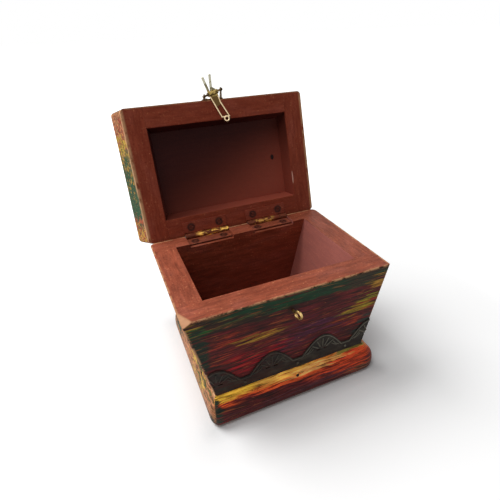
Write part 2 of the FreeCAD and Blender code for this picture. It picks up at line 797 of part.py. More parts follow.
box_nodes = {
    "front_board": front_board,
    "back_board": back_board,
    "left_board": left_board,
    "right_board": right_board,
    "floor_board": floor_board,
    "plinth_front": plinth_front,
    "plinth_back": plinth_back,
    "plinth_left": plinth_left,
    "plinth_right": plinth_right,
    "board_nails": group(board_nails),
    "plinth_nails": group(plinth_nails),
    "foot_nails": group(foot_nails),
    "trim_strip": trim_strip,
    "trim_tacks": group(trim_tacks),
    "latch_staple": latch_staple,
    "hinge_left_box_leaf": box_leaves["left"],
    "hinge_right_box_leaf": box_leaves["right"],
    "hinge_left_pin": pins["left"],
    "hinge_right_pin": pins["right"],
    "box_hinge_screws": group(box_screws),
}
lid_nodes = {
    "lid_front_rail": lid_front_rail,
    "lid_back_rail": lid_back_rail,
    "lid_left_rail": lid_left_rail,
    "lid_right_rail": lid_right_rail,
    "lid_panel": lid_panel,
    "lid_nails": group(lid_nails),
    "hinge_left_lid_leaf": lid_leaves["left"],
    "hinge_right_lid_leaf": lid_leaves["right"],
    "lid_hinge_screws": group(lid_screws),
    "hasp_bracket": hasp_bracket,
    "hasp_pin": hasp_pin,
    "hasp_bracket_nails": group(bracket_nails),
    "hasp": hasp,
}

os.makedirs("parts", exist_ok=True)
for node, shape in box_nodes.items():
    shape.exportStep("parts/" + node + ".step")
for node, shape in lid_nodes.items():
    opened(shape).exportStep("parts/" + node + ".step")

turn_open = FreeCAD.Rotation(X_AXIS, -open_angle)
hasp_at = turn_open.multVec(hasp_mid - hinge_axis) + hinge_axis
hasp_axis = turn_open.multVec(pin_way * -1)
print("hinge axis", tuple(hinge_axis), "lid gap", lid_gap)
print("hasp pivot", tuple(hasp_at), "axis", tuple(hasp_axis))
for node, shape in list(box_nodes.items()) + list(lid_nodes.items()):
    print(node, len(shape.Solids), round(shape.Volume, 1), shape.isValid())
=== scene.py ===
import math

import bpy
from mathutils import Euler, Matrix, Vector

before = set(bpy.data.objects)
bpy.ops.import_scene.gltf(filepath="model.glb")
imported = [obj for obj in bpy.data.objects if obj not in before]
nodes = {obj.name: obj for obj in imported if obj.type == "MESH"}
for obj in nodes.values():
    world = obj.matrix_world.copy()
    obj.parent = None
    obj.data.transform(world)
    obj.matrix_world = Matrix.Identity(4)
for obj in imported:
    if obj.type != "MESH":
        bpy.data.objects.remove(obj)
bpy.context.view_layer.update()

PER_M = 1000.0                         # millimetres in a metre

# Sizes of the box that the paint follows, in millimetres
HALF_W, HALF_D = 77.0, 53.0            # half of the rim's width and depth
RIM_Z = 96.0                           # the rim above the table
LEAN = math.tan(math.radians(12.25))   # how much the sides lean out
CHIP = (6.5, 12.0, 3.0)                # the broken corner: along the front, along the side, down
PLINTH_H = 25.0
NAIL_X, NAIL_Z = 1.6, 20.5             # the nail in the middle of the plinth's front
FOOT_X = 2.9                           # the middle of the plinth's foot
FOOT_HALF_W, FOOT_HALF_D = 70.3, 61.4
STAPLE_X, STAPLE_Z = -1.9, 81.4        # where the staple goes into the front board
PIN_Y, PIN_Z = 53.1, 95.2              # the hinge pins
BARREL_R = 2.4
HINGE_X = 28.3                         # each hinge from the middle of the box
LEAF_HALF, LEAF_W = 19.0, 12.0         # half of a leaf's length, and its width from the pin
SCREW_X, SCREW_Y = 12.4, 45.7          # the screws from the middle of a leaf, and of the box
SCREW_R = 2.5                          # the screws' heads

# The lid and the hasp as they lie when the lid is shut, in millimetres
OPEN = math.radians(107.5)             # the lid's turn from there to the photo's pose
LID_Z, LID_H = 97.6, 18.2              # the lid's rim above the table, and its height
LID_FLARE = 6.8                        # how much wider the lid's top is, each side
RAIL_W = 16.8                          # the side rails, across the lid's rim
RECESS_H = 12.0                        # the panel above the lid's rim
KNOT = ((47.8, -0.3), (1.9, 2.8))      # dark knot in the panel: middle and reach
NICK = ((60.3, 20.0), (0.6, 6.0))      # pale nick in the right rail: middle and reach
HASP_Y, HASP_Z = -57.8, 96.8           # the hasp's pin, and the middle of its strap's sheet
WEB_T = 0.6                            # the sheet's thickness

# Where one coat of paint goes on around a corner, in millimetres
SIDE_SHIFT = 24.0                      # the sides' paint along the front's pattern
TOP_SHIFT = -50.0                      # the lid's front and back across its top's pattern

# Camera, lights and floor, in metres
LENS_MM, SENSOR_MM = 26.7231, 36.0
CAMERA_AT = (-0.0981468, -0.2217197, 0.2458821)
CAMERA_TURN = (58.880779, 1.836693, -22.717720)    # degrees
LIGHTS = (                             # name, place, target, size and power
    ("key", (-0.62, 0.58, 1.15), (0, 0, 0.08), 0.8, 15.0),
    ("overhead", (-0.45, -0.26, 1.35), (0, 0, 0.1), 0.6, 4.6),
)
SKY_LIGHT, SKY_SHOWN = 0.07, 1.0       # the sky as light on the object, and as it is seen
FLOOR_REACH, FLOOR_GREY = 12.0, 0.86
# Distance from the box's foot and the floor's own glow there, which is low near the box: that lets
# the shadow show and also paints shade on the floor round the foot
GLOW_AND_FOOT_SHADE = ((0.0, 0.05), (0.012, 0.22), (0.04, 0.36), (0.16, 0.44), (0.4, 1.0))


def srgb(r, g, b):
    """A colour as seen on screen, 0 to 255, as linear light."""
    def lin(c):
        c = c / 255.0
        return c / 12.92 if c <= 0.04045 else ((c + 0.055) / 1.055) ** 2.4
    return (lin(r), lin(g), lin(b), 1.0)


def fill_ramp(node, stops):
    """Gives a colour ramp its stops, in rising order."""
    elements = node.color_ramp.elements
    elements[0].position, elements[0].color = stops[0]
    elements[1].position, elements[1].color = stops[-1]
    for position, colour in stops[1:-1]:
        elements.new(position).color = colour


class Shade:
    """A node material whose colour is worked out from places on the object, in millimetres."""

    def __init__(self, name, lid=False):
        self.mat = bpy.data.materials.new(name)
        self.mat.use_nodes = True
        self.tree = self.mat.node_tree
        self.tree.nodes.clear()
        self.bsdf = self.add("ShaderNodeBsdfPrincipled")
        out = self.add("ShaderNodeOutputMaterial")
        self.tree.links.new(self.bsdf.outputs[0], out.inputs[0])
        coord = self.add("ShaderNodeTexCoord")
        place, normal = coord.outputs["Object"], coord.outputs["Normal"]
        if lid:
            place = self.shut(place, (0, PIN_Y / PER_M, PIN_Z / PER_M))
            normal = self.shut(normal, (0, 0, 0))
        self.at = self.split(self.dim(place, PER_M))
        self.x, self.y, self.z = self.at
        self.nx, self.ny, self.nz = self.split(normal)

    def add(self, kind):
        return self.tree.nodes.new(kind)

    def put(self, socket, value):
        if isinstance(value, bpy.types.NodeSocket):
            self.tree.links.new(value, socket)
        else:
            socket.default_value = value

    def shut(self, vector, centre):
        """Turns the open lid's places and normals to where they are when it is shut."""
        n = self.add("ShaderNodeVectorRotate")
        n.rotation_type = "X_AXIS"
        self.put(n.inputs["Vector"], vector)
        n.inputs["Center"].default_value = centre
        n.inputs["Angle"].default_value = OPEN
        return n.outputs[0]

    def split(self, vector):
        n = self.add("ShaderNodeSeparateXYZ")
        self.put(n.inputs[0], vector)
        return n.outputs[0], n.outputs[1], n.outputs[2]

    def m(self, op, a, b=0.0, c=0.0):
        n = self.add("ShaderNodeMath")
        n.operation = op
        for socket, value in zip(n.inputs, (a, b, c)):
            self.put(socket, value)
        return n.outputs[0]

    def plus(self, a, b):
        return self.m("ADD", a, b)

    def minus(self, a, b):
        return self.m("SUBTRACT", a, b)

    def times(self, a, b):
        return self.m("MULTIPLY", a, b)

    def linear(self, a, slope, start):
        """Start plus slope times a."""
        return self.m("MULTIPLY_ADD", a, slope, start)

    def flip(self, a):
        return self.times(a, -1.0)

    def size(self, a):
        return self.m("ABSOLUTE", a)

    def length(self, a, b):
        return self.m("SQRT", self.plus(self.times(a, a), self.times(b, b)))

    def positive(self, a):
        return self.m("GREATER_THAN", a, 0.0)

    def negative(self, a):
        return self.m("LESS_THAN", a, 0.0)

    def most(self, first, *others):
        for other in others:
            first = self.m("MAXIMUM", first, other)
        return first

    def least(self, first, *others):
        for other in others:
            first = self.m("MINIMUM", first, other)
        return first

    def rise(self, value, low, high):
        """Rises smoothly from 0 at low to 1 at high."""
        n = self.add("ShaderNodeMapRange")
        n.interpolation_type = "SMOOTHSTEP"
        self.put(n.inputs["Value"], value)
        n.inputs["From Min"].default_value = low
        n.inputs["From Max"].default_value = high
        return n.outputs[0]

    def fall(self, value, low, high):
        """Falls smoothly from 1 at low to 0 at high."""
        return self.minus(1.0, self.rise(value, low, high))

    def facing(self, part):
        """1 on faces whose normal points mostly the way of the given part of it."""
        return self.rise(part, 0.5, 0.8)

    def right_wall(self):
        """1 on the inner face at the right, which looks left."""
        return self.times(self.facing(self.flip(self.nx)), self.positive(self.x))

    def mix(self, share, a, b):
        """A colour between a and b."""
        n = self.add("ShaderNodeMix")
        n.data_type = "RGBA"
        self.put(n.inputs[0], share)
        self.put(n.inputs[6], a)
        self.put(n.inputs[7], b)
        return n.outputs[2]

    def pick(self, share, a, b):
        """A number between a and b."""
        n = self.add("ShaderNodeMix")
        n.data_type = "FLOAT"
        self.put(n.inputs[0], share)
        self.put(n.inputs[2], a)
        self.put(n.inputs[3], b)
        return n.outputs[0]

    def dim(self, colour, amount):
        """Darkens or lightens a colour, or scales a place, by a factor."""
        n = self.add("ShaderNodeVectorMath")
        n.operation = "SCALE"
        self.put(n.inputs[0], colour)
        self.put(n.inputs["Scale"], amount)
        return n.outputs[0]

    def noise(self, places, lengths, seed, detail=2.0, rough=0.55):
        """Soft noise whose blotches have the given lengths along the given places."""
        n = self.add("ShaderNodeTexNoise")
        n.inputs["Scale"].default_value = 1.0
        n.inputs["Detail"].default_value = detail
        n.inputs["Roughness"].default_value = rough
        vector = self.add("ShaderNodeCombineXYZ")
        for k, (place, length) in enumerate(zip(places, lengths)):
            self.put(vector.inputs[k], self.linear(place, 1.0 / length, seed * (k + 1)))
        if len(places) == 2:
            n.noise_dimensions = "2D"
        self.put(n.inputs["Vector"], vector.outputs[0])
        return n.outputs[0]

    def grain(self, length, seed, detail=2.0):
        """Soft noise whose blotches are as long in every direction."""
        return self.noise(self.at, (length, length, length), seed, detail)

    def ramp(self, value, stops):
        n = self.add("ShaderNodeValToRGB")
        fill_ramp(n, stops)
        self.put(n.inputs[0], value)
        return n.outputs[0]

    def spot(self, a, u, middle, reach):
        """1 in the middle of a soft oval, falling to 0 around it."""
        far = 0.0
        for place, centre, width in zip((a, u), middle, reach):
            part = self.linear(place, 1.0 / width, -centre / width)
            far = self.m("MULTIPLY_ADD", part, part, far)
        return self.m("EXPONENT", self.flip(far))

    def edge(self, d1, d2, width):
        """1 beside the edge where two faces meet, given the distances from both."""
        return self.fall(self.most(d1, d2), 0.25 * width, width)

    def done(self, colour, rough, bump, bump_mm, round_mm, metal=0.0, gloss=0.15):
        """The finished material, with bumps bump_mm high and edges that look rounded by round_mm."""
        self.put(self.bsdf.inputs["Base Color"], colour)
        self.put(self.bsdf.inputs["Roughness"], rough)
        self.put(self.bsdf.inputs["Metallic"], metal)
        self.bsdf.inputs["Specular IOR Level"].default_value = gloss
        soft = self.add("ShaderNodeBevel")
        soft.samples = 4
        soft.inputs["Radius"].default_value = round_mm / PER_M
        n = self.add("ShaderNodeBump")
        n.inputs["Strength"].default_value = 0.8
        n.inputs["Distance"].default_value = bump_mm / PER_M
        self.put(n.inputs["Height"], bump)
        self.put(n.inputs["Normal"], soft.outputs[0])
        self.put(self.bsdf.inputs["Normal"], n.outputs[0])
        return self.mat


# Woods, and the ground coat inside and on the rims
WOOD, OLD_WOOD = srgb(232, 178, 132), srgb(196, 134, 92)
COAT = [
    (0.30, srgb(146, 72, 50)),
    (0.50, srgb(160, 82, 58)),
    (0.70, srgb(164, 88, 68)),
]
PALE_SPECK, DARK_SPECK = srgb(214, 138, 98), srgb(86, 36, 26)
# Painted shade deep inside the box, and a painted highlight on its inner right wall
DEEP_SHADE_COAT, LIT_COAT = srgb(110, 54, 44), srgb(188, 118, 110)
# Painted shade for the floor board at the bottom of the box
FLOOR_SHADE_BROWN = srgb(92, 46, 38)
LID_RED, LID_RED_SHARE = srgb(140, 46, 30), 0.4
# Painted shade and painted light across the lid's recess
RECESS_PAINTED_SHADE, RECESS_PAINTED_LIGHT = srgb(30, 2, 5), srgb(172, 86, 68)
# What the brushed paint starts from, and what shows in its gaps and scratches
MAROON = [
    (0.32, srgb(38, 17, 16)),
    (0.44, srgb(72, 24, 24)),
    (0.54, srgb(106, 32, 32)),
    (0.66, srgb(90, 31, 38)),
]
TAN = [
    (0.32, srgb(104, 68, 46)),
    (0.48, srgb(182, 120, 82)),
    (0.64, srgb(174, 132, 68)),
]
SOOT, SCRATCH, FLECK = srgb(40, 22, 19), srgb(206, 112, 62), srgb(214, 134, 80)
# Reds, purples and browns
CRIMSON, SCARLET, BRICK = srgb(164, 26, 34), srgb(176, 62, 40), srgb(168, 74, 52)
PURPLE, PLUM, UMBER = srgb(86, 36, 60), srgb(104, 52, 60), srgb(66, 28, 24)
RUST, DRAB, BARK = srgb(186, 92, 58), srgb(150, 96, 66), srgb(48, 34, 24)
# Greens
GREEN, DARK_GREEN, TEAL = srgb(26, 64, 40), srgb(26, 44, 32), srgb(52, 60, 54)
FIR, GRASS, SAGE = srgb(38, 82, 48), srgb(40, 92, 40), srgb(88, 92, 48)
OLIVE, MOSS, REED = srgb(104, 88, 46), srgb(58, 50, 34), srgb(104, 98, 54)
# Yellows and oranges, and an apricot for a painted highlight
OCHRE, LIME, YELLOW = srgb(196, 146, 56), srgb(180, 166, 48), srgb(255, 194, 68)
MUSTARD, KHAKI, STRAW = srgb(190, 156, 52), srgb(140, 122, 56), srgb(216, 178, 84)
CORN, HONEY, AMBER = srgb(214, 176, 66), srgb(222, 172, 66), srgb(255, 186, 84)
ORANGE, PAINTED_HIGHLIGHT_APRICOT, PEACH = srgb(255, 156, 66), srgb(255, 184, 104), srgb(206, 138, 96)
FLAME, EMBER = srgb(240, 94, 48), srgb(236, 84, 48)
# Marks
STAPLE_HALO_DARK, NAIL_HEAD = srgb(38, 20, 16), srgb(40, 30, 26)
KNOT_DARK, NICK_PALE = srgb(24, 8, 8), srgb(240, 190, 170)
GRIME, SCREW_RIM = srgb(58, 26, 20), srgb(40, 18, 16)
# Metals
SHEET = [
    (0.34, srgb(28, 23, 21)),
    (0.52, srgb(47, 41, 36)),
    (0.68, srgb(68, 62, 54)),
]
SMEAR, RUBBED = srgb(58, 26, 22), srgb(140, 136, 120)
# Painted shade: the hasp's sheet between its edges
SHADED_WEB_BRASS = srgb(96, 74, 42)
EDGE_BRASS = srgb(250, 228, 192), srgb(214, 182, 134)
KNUCKLE_BRASS = srgb(176, 150, 88), srgb(74, 58, 32)
PRONG_BRASS = srgb(190, 186, 164), srgb(120, 112, 84)
STAPLE_BRASS = srgb(226, 192, 128), srgb(140, 108, 62)
# Brass of the hasp's bracket, pin and nails, dark partly from tarnish and partly as painted shade
DARK_BRASS_AND_SHADE = srgb(112, 88, 54), srgb(50, 40, 28)
BARREL_BROWN, BARE_BRASS = srgb(92, 46, 24), srgb(226, 176, 86)


def brown_coat(s, a, u, seed):
    """The reddish brown ground coat, brushed along a: colour and height."""
    broad = s.noise((a, u), (30.0, 12.0), seed)
    brush = s.noise((a, u), (18.0, 3.0), seed + 3.1, detail=5.0, rough=0.72)
    speck = s.grain(1.5, seed + 7.7, detail=1.0)
    colour = s.dim(s.ramp(broad, COAT), s.linear(brush, 1.7, 0.16))
    pale = s.times(s.rise(speck, 0.60, 0.76), s.rise(brush, 0.40, 0.64))
    colour = s.mix(pale, colour, PALE_SPECK)
    colour = s.mix(s.times(s.fall(speck, 0.26, 0.40), 0.5), colour, DARK_SPECK)
    return colour, s.plus(s.times(brush, 0.7), s.times(speck, 0.6))


def brushed_paint(s, a, u, seed, base, patches, run=52.0, gaps=0.6, contrast=2.6):
    """Streaky paint brushed along a, with u across the streaks: colour and height.

    Ragged oval patches lie on the base colours, each with its middle, its reach, its colour and how
    much of it is covered. Streaks are about as long as run, gaps says how dark the gaps between them
    are, and contrast how much the fine ones differ.
    """
    drift = s.noise((a, u), (0.9 * run, 16.0), seed)
    line = s.linear(drift, 4.0, u)
    streaks = [
        s.noise((a, line), (run, 2.6), seed + 11.3 * (k + 1), detail=4.0, rough=0.7)
        for k in range(4)
    ]
    fine = s.noise((a, line), (0.35 * run, 1.1), seed + 51.0, detail=3.0, rough=0.6)
    colour = s.ramp(s.plus(s.times(streaks[0], 0.7), s.times(fine, 0.3)), base)
    for k, (middle, reach, tint, cover) in enumerate(patches):
        ragged = s.linear(streaks[1 + k % 3], 5.0, cover - 2.5)
        there = s.times(s.spot(a, u, middle, reach), ragged)
        colour = s.mix(s.rise(there, 0.22, 0.5), colour, tint)
    colour = s.dim(colour, s.linear(fine, contrast, 1.0 - 0.5 * contrast))
    gap = s.noise((a, line), (0.7 * run, 2.2), seed + 61.0, detail=4.0, rough=0.7)
    colour = s.mix(s.times(s.fall(gap, 0.34, 0.5), gaps), colour, SOOT)
    scratch = s.noise((a, line), (0.4 * run, 1.2), seed + 73.0)
    colour = s.mix(s.times(s.rise(scratch, 0.62, 0.76), 0.6), colour, SCRATCH)
    fleck = s.noise((a, line), (5.5, 0.9), seed + 83.0, detail=3.0, rough=0.7)
    colour = s.mix(s.times(s.fall(fleck, 0.28, 0.40), 0.6), colour, SOOT)
    light_fleck = s.times(s.rise(fleck, 0.66, 0.80), s.rise(gap, 0.44, 0.6))
    colour = s.mix(light_fleck, colour, FLECK)
    return colour, s.plus(gap, s.times(fine, 0.5))


def box_paint(name, side):
    """Boards of the box: brown inside and on the rim, brushed paint outside.
    Painted shade darkens the inside with depth and the rim towards its right end, and a painted
    highlight lightens the inner right wall.

    On a side board the brown coat is brushed along Y, on the others along X.
    """
    s = Shade(name)
    to_top = s.minus(RIM_Z, s.z)
    to_side = s.minus(s.minus(HALF_W, s.times(to_top, LEAN)), s.size(s.x))
    to_front = s.plus(s.y, HALF_D)
    to_back = s.minus(HALF_D, s.y)
    along, across = (s.y, s.x) if side else (s.x, s.y)
    coat, coat_height = brown_coat(s, along, s.plus(across, s.z), 2.0)
    # Painted highlight: the inner right wall is coloured lighter
    lit = s.right_wall()
    # Painted shade: the inside darkens with depth below the rim, less on the inner right wall
    deep_shade = s.times(s.rise(to_top, 2.0, 40.0), s.linear(lit, -0.4, 0.5))
    coat = s.mix(deep_shade, coat, DEEP_SHADE_COAT)
    coat = s.mix(s.times(lit, 0.66), coat, LIT_COAT)
    # Painted shade: the rim's top darkens towards its right end
    rim_shade_to_right = s.times(s.rise(s.x, -10.0, 60.0), s.facing(s.nz))
    coat = s.dim(coat, s.linear(rim_shade_to_right, -0.14, 1.0))
    patches = [
        ((-60.0, 56.0), (34.0, 30.0), UMBER, 0.4),
        ((8.0, 57.0), (44.0, 14.0), PURPLE, 0.4),
        ((-40.0, 46.0), (18.0, 10.0), CRIMSON, 0.4),
        ((-48.0, 66.0), (34.0, 12.0), SCARLET, 0.25),
        ((-20.0, 54.0), (30.0, 7.0), CRIMSON, 0.15),
        ((48.0, 55.0), (20.0, 7.0), SCARLET, 0.3),
        ((-40.0, 90.0), (46.0, 9.0), BARK, 0.9),
        ((-44.0, 89.0), (36.0, 7.0), OLIVE, 0.1),
        ((20.0, 93.0), (62.0, 8.0), GREEN, 1.1),
        ((60.0, 91.0), (26.0, 8.0), MOSS, 0.8),
        ((-24.0, 68.0), (24.0, 5.0), OCHRE, 0.35),
        ((48.0, 64.0), (18.0, 7.0), MUSTARD, 0.2),
        ((64.0, 70.0), (13.0, 8.0), LIME, 0.35),
        ((62.0, 67.0), (20.0, 9.0), SCARLET, 0.0),
        ((70.0, 84.0), (14.0, 7.0), OCHRE, 0.2),
        ((-73.0, 89.0), (9.0, 6.0), OCHRE, 0.4),
        ((-69.0, 86.0), (10.0, 6.0), GRASS, 0.6),
        ((-69.0, 68.0), (7.0, 20.0), DARK_GREEN, 0.9),
        ((64.0, 36.0), (12.0, 18.0), TEAL, 0.9),
    ]
    around = s.pick(s.facing(s.size(s.nx)), s.x, s.plus(s.y, SIDE_SHIFT))
    paint, paint_height = brushed_paint(s, around, s.z, 4.0, MAROON, patches, contrast=3.6)
    # Darker round the staple
    halo = s.spot(s.x, s.z, (STAPLE_X, STAPLE_Z + 0.6), (5.5, 4.6))
    halo = s.rise(s.times(halo, s.negative(s.y)), 0.2, 0.7)
    paint = s.mix(s.times(halo, 0.75), paint, STAPLE_HALO_DARK)
    depth = s.least(to_front, to_back, to_side)
    faces_out = s.most(
        s.facing(s.flip(s.ny)),
        s.times(s.facing(s.ny), s.positive(s.y)),
        s.facing(s.times(s.nx, s.m("SIGN", s.x))),
    )
    outside = s.times(faces_out, s.fall(depth, 2.5, 4.5))
    colour = s.mix(outside, coat, paint)
    wear = s.noise(s.at, (6.0, 6.0, 4.0), 21.0, detail=4.0, rough=0.65)
    edges = s.most(
        s.edge(to_front, to_top, 1.6),
        s.edge(to_back, to_top, 1.8),
        s.edge(to_side, to_top, 1.8),
        s.edge(to_side, to_front, 1.8),
        s.edge(to_side, to_back, 1.8),
    )
    broken = 0.0
    for place, reach in zip((s.plus(s.x, HALF_W), to_front, to_top), CHIP):
        broken = s.linear(place, 1.0 / reach, broken)
    worn = s.most(s.times(edges, s.rise(wear, 0.40, 0.52)), s.fall(broken, 1.02, 1.3))
    colour = s.mix(s.times(worn, 0.85), colour, s.mix(wear, OLD_WOOD, WOOD))
    rough = s.pick(outside, 0.46, 0.56)
    height = s.pick(outside, coat_height, paint_height)
    return s.done(colour, rough, height, bump_mm=0.22, round_mm=0.6)


def floor_wood():
    """The box's floor board: the brown coat, darkened as painted shade."""
    s = Shade("floor_wood")
    coat, height = brown_coat(s, s.x, s.y, 14.0)
    colour = s.mix(0.6, coat, FLOOR_SHADE_BROWN)
    return s.done(colour, 0.6, height, bump_mm=0.15, round_mm=0.3)


def plinth_paint():
    """The bullnose: yellow to orange to red along the front, darker below, and tan at the left.

    Painted light brightens the top of the front, with a painted highlight along it.
    """
    s = Shade("plinth_paint")
    on_side = s.rise(s.size(s.nx), 0.55, 0.75)
    along = s.pick(on_side, s.x, s.y)
    patches = [
        ((0.0, 21.6), (130.0, 4.4), FLAME, 0.8),
        ((46.0, 16.0), (36.0, 9.0), EMBER, 0.9),
        ((-20.0, 24.0), (70.0, 3.4), ORANGE, 1.0),
        # A painted highlight along the top of the bullnose
        ((18.0, 22.5), (44.0, 3.4), PAINTED_HIGHLIGHT_APRICOT, 0.6),
        ((-26.0, 24.0), (44.0, 2.6), AMBER, 0.9),
        ((-54.0, 24.2), (20.0, 3.0), YELLOW, 1.6),
        ((56.0, 24.0), (26.0, 3.0), KHAKI, 0.6),
        ((10.0, 9.0), (50.0, 7.0), PLUM, 0.3),
        ((60.0, 9.0), (24.0, 6.0), DRAB, 0.3),
        # Dark green on the rounded left corner, partly paint and partly painted shade
        ((-66.0, 10.0), (7.0, 16.0), DARK_GREEN, 0.9),
    ]
    front, height = brushed_paint(s, along, s.z, 6.0, MAROON, patches, gaps=0.4, contrast=3.8)
    # Painted light: the top of the front is brightened, its lower part left darker
    front = s.dim(front, s.linear(s.rise(s.z, 15.0, 23.0), 0.5, 0.95))
    flank_patches = [
        ((-44.0, 16.0), (26.0, 18.0), PEACH, 0.5),
        ((-18.0, 18.0), (22.0, 14.0), STRAW, 0.4),
        ((-36.0, 21.0), (26.0, 8.0), SAGE, 0.3),
        ((14.0, 14.0), (26.0, 14.0), PEACH, 0.5),
        ((40.0, 18.0), (22.0, 12.0), GREEN, 0.4),
        ((-54.0, 4.0), (16.0, 6.0), DARK_GREEN, 0.6),
    ]
    flank, flank_height = brushed_paint(s, along, s.z, 8.0, TAN, flank_patches, run=14.0)
    on_left = s.times(on_side, s.negative(s.x))
    colour = s.mix(on_left, front, flank)
    nail = s.times(s.spot(s.x, s.z, (NAIL_X, NAIL_Z), (1.5, 1.3)), s.negative(s.y))
    colour = s.mix(s.rise(nail, 0.3, 0.6), colour, NAIL_HEAD)
    wear = s.noise(s.at, (6.0, 6.0, 3.0), 31.0, detail=3.0)
    top_line = s.times(s.fall(s.minus(PLINTH_H, s.z), 0.3, 2.4), on_left)
    colour = s.mix(s.times(top_line, s.rise(wear, 0.42, 0.58)), colour, WOOD)
    underneath = s.rise(s.flip(s.nz), 0.6, 0.9)
    colour = s.mix(underneath, colour, OLD_WOOD)
    height = s.pick(on_left, height, flank_height)
    return s.done(colour, 0.5, height, bump_mm=0.25, round_mm=0.6)


def lid_paint():
    """The lid: brown inside and on its rim, banded paint on its sides, streaky paint on top.

    Painted shade and light lie across the recess, darkest at its front left.
    """
    s = Shade("lid_paint", lid=True)
    up = s.plus(s.z, -LID_Z)
    to_front = s.plus(s.y, HALF_D)
    to_back = s.minus(HALF_D, s.y)
    to_side = s.minus(s.linear(up, LID_FLARE / LID_H, HALF_W), s.size(s.x))
    on_side_rail = s.rise(s.size(s.x), HALF_W - RAIL_W - 0.4, HALF_W - RAIL_W)
    along = s.pick(on_side_rail, s.x, s.y)
    across = s.pick(on_side_rail, s.y, s.x)
    coat, coat_height = brown_coat(s, along, across, 17.0)
    coat = s.mix(LID_RED_SHARE, coat, LID_RED)
    # Painted shade and light in the recess: near black at its front left, lighter brown at its back
    # right, darker on its inner right wall
    recess_light_across = s.rise(s.plus(s.times(s.y, 0.008), s.times(s.x, 0.004)), -0.45, 0.42)
    shaded_recess = s.mix(s.m("POWER", recess_light_across, 2.6), RECESS_PAINTED_SHADE, RECESS_PAINTED_LIGHT)
    shaded_recess = s.dim(shaded_recess, s.linear(s.right_wall(), -0.25, 1.0))
    coat = s.mix(s.times(s.rise(up, 0.3, 1.5), 0.94), coat, shaded_recess)
    bands = [
        ((94.0, 9.0), (20.0, 40.0), PEACH, 0.5),
        ((88.0, 9.0), (16.0, 30.0), BRICK, 0.3),
        ((74.0, 11.0), (14.0, 30.0), CORN, 0.6),
        ((66.0, 5.0), (16.0, 12.0), REED, 0.4),
        ((40.0, 9.0), (27.0, 40.0), FIR, 1.25),
        ((56.0, 12.0), (22.0, 30.0), OCHRE, 0.0),
        ((10.0, 9.0), (14.0, 40.0), RUST, 0.5),
        ((6.0, 8.0), (12.0, 30.0), HONEY, 0.3),
    ]
    flank, flank_height = brushed_paint(s, to_back, up, 11.0, TAN, bands, run=5.0)
    top_patches = [
        ((-30.0, 20.0), (44.0, 16.0), PURPLE, 0.4),
        ((36.0, -16.0), (40.0, 16.0), CRIMSON, 0.5),
        ((0.0, -46.0), (84.0, 10.0), GREEN, 0.9),
        ((-58.0, -20.0), (28.0, 12.0), OCHRE, 0.35),
        ((54.0, 34.0), (28.0, 10.0), LIME, 0.35),
        ((-10.0, -4.0), (40.0, 12.0), SCARLET, 0.4),
        ((10.0, 46.0), (76.0, 10.0), DARK_GREEN, 0.7),
    ]
    over = s.pick(s.facing(s.size(s.nz)), s.plus(up, TOP_SHIFT), s.y)
    top, top_height = brushed_paint(s, s.x, over, 15.0, MAROON, top_patches)
    flank_here = s.times(s.fall(to_side, 0.4, 1.4), s.rise(s.size(s.nx), 0.45, 0.7))
    end_here = s.fall(s.least(to_front, to_back), 0.3, 1.0)
    end_here = s.times(end_here, s.facing(s.size(s.ny)))
    top_here = s.most(s.rise(up, LID_H - 1.0, LID_H - 0.4), end_here)
    colour = s.mix(top_here, coat, top)
    colour = s.mix(flank_here, colour, flank)
    wear = s.noise(s.at, (5.0, 8.0, 5.0), 41.0, detail=3.0)
    to_outside = s.least(to_side, to_front, to_back)
    edges = s.most(
        s.edge(to_side, up, 2.8),
        s.times(s.edge(to_front, up, 1.4), 0.6),
        s.times(s.edge(to_outside, s.minus(LID_H, up), 1.5), 0.75),
    )
    worn = s.times(edges, s.times(s.rise(wear, 0.28, 0.50), 0.85))
    colour = s.mix(worn, colour, WOOD)
    in_recess = s.fall(s.size(s.plus(up, -RECESS_H)), 0.5, 2.0)
    knot = s.times(s.spot(s.x, s.y, *KNOT), in_recess)
    colour = s.mix(s.rise(knot, 0.3, 0.7), colour, KNOT_DARK)
    nick = s.times(s.spot(s.x, s.y, *NICK), s.fall(up, 0.4, 0.8))
    colour = s.mix(s.rise(nick, 0.3, 0.6), colour, NICK_PALE)
    rough = s.pick(s.most(flank_here, top_here), 0.5, 0.56)
    height = s.pick(flank_here, s.pick(top_here, coat_height, top_height), flank_height)
    return s.done(colour, rough, height, bump_mm=0.22, round_mm=0.6, gloss=0.1)


def strip_metal():
    """Dark tarnished sheet, rubbed lighter on its raised lines and smeared with paint at the left."""
    s = Shade("strip_metal")
    tarnish = s.noise(s.at, (8.0, 8.0, 4.0), 51.0, detail=4.0)
    fine = s.grain(1.3, 53.0)
    colour = s.ramp(tarnish, SHEET)
    smear = s.rise(s.noise((s.x, s.z), (16.0, 3.0), 55.0, detail=3.0), 0.42, 0.58)
    smear = s.times(smear, s.fall(s.x, -50.0, 20.0))
    colour = s.mix(s.times(smear, 0.8), colour, SMEAR)
    proud = s.rise(s.flip(s.plus(s.y, HALF_D)), 0.75, 1.15)
    rubbed = s.linear(s.rise(s.x, -20.0, 40.0), 0.4, 0.1)
    colour = s.mix(s.times(proud, rubbed), colour, RUBBED)
    rough = s.linear(tarnish, 0.3, 0.4)
    return s.done(colour, rough, fine, bump_mm=0.1, round_mm=0.3, metal=0.2)


def old_brass(name, tones, seed, rough):
    """Blotchy brass between two tones."""
    s = Shade(name)
    tarnish = s.grain(3.0, seed, detail=3.0)
    fine = s.grain(0.7, seed + 2.0)
    colour = s.mix(s.rise(tarnish, 0.38, 0.62), *tones)
    return s.done(colour, s.linear(fine, 0.2, rough), fine, bump_mm=0.06, round_mm=0.2, metal=0.9)


